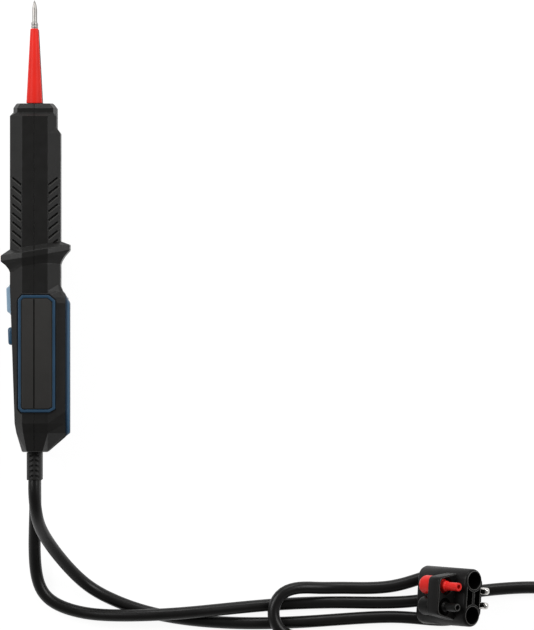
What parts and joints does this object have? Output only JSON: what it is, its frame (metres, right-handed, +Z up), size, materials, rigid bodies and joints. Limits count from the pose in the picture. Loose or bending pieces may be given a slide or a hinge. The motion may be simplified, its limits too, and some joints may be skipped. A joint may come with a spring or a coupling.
{
  "type": "voltage tester",
  "caption": "Two-pole voltage tester lying on its side, handles docked side by side, joined by a cord that carries a tip protector with push-on caps and contact adapters.",
  "frame": {"origin": "on the surface that the tester lies on, under the middle of the two handles' box", "axes": "+Y along the handles towards the probe tips, +X from the buttons towards the battery cover, +Z up through the probe handle and then the display handle"},
  "size_m": [0.3344, 0.3791, 0.078],
  "materials": {
    "black_plastic": "fine-textured black moulded plastic",
    "pad_grey": "soft-touch dark grey pad",
    "blue_plastic": "satin blue-grey moulded plastic",
    "red_plastic": "satin red moulded plastic",
    "bright_steel": "bright plated metal",
    "black_rubber": "smooth black silicone or rubber",
    "clear_plastic": "clear moulded plastic",
    "board_green": "green board laminate",
    "screw_zinc": "zinc-plated screw steel",
    "cell_jacket": "plain shrunk jacket of a cell",
    "lcd_grey": "display glass and frame"
  },
  "bodies": {
    "root": {"adapter_1": "bright_steel", "adapter_2": "bright_steel", "battery_1": "cell_jacket", "battery_2": "cell_jacket", "battery_cover": "blue_plastic", "black_tip_cap": "black_plastic", "buzzer": "black_plastic", "cord": "black_rubber", "cover_screw": "screw_zinc", "display_back_shell": "black_plastic", "display_board": "board_green", "display_dock_pad": "pad_grey", "display_front_shell": "black_plastic", "display_rod": "bright_steel", "display_screw_1": "screw_zinc", "display_screw_2": "screw_zinc", "display_screw_3": "screw_zinc", "display_screw_4": "screw_zinc", "display_side_pad": "pad_grey", "display_side_rim": "blue_plastic", "display_sleeve": "red_plastic", "display_strain_relief": "black_rubber", "display_switch": "black_plastic", "display_window": "clear_plastic", "function_switch": "black_plastic", "lamp_lens_bar": "clear_plastic", "lcd_module": "lcd_grey", "lower_contact": "bright_steel", "probe_back_shell": "black_plastic", "probe_board": "board_green", "probe_dock_pad": "pad_grey", "probe_front_shell": "black_plastic", "probe_rod": "bright_steel", "probe_screw_1": "screw_zinc", "probe_screw_2": "screw_zinc", "probe_screw_3": "screw_zinc", "probe_side_pad": "pad_grey", "probe_side_rim": "blue_plastic", "probe_sleeve": "black_plastic", "probe_strain_relief": "black_rubber", "probe_switch": "black_plastic", "red_tip_cap": "red_plastic", "tip_protector": "black_plastic", "torch_lens": "clear_plastic", "upper_contact": "bright_steel", "vibration_motor": "bright_steel"},
    "display_button": {"display_button": "blue_plastic"},
    "function_button": {"function_button": "blue_plastic"},
    "probe_button": {"probe_button": "blue_plastic"}
  },
  "joints": [
    {"name": "display_button_press", "type": "slide", "parent": "root", "child": "display_button", "axis": [0.9994, 0.0337, 0], "range_m": [0, 0.0015], "stiffness_N_per_m": 200},
    {"name": "function_button_press", "type": "slide", "parent": "root", "child": "function_button", "axis": [0.9994, 0.0337, 0], "range_m": [0, 0.001], "stiffness_N_per_m": 200},
    {"name": "probe_button_press", "type": "slide", "parent": "root", "child": "probe_button", "axis": [0.9994, 0.0337, 0], "range_m": [0, 0.0015], "stiffness_N_per_m": 200}
  ]
}
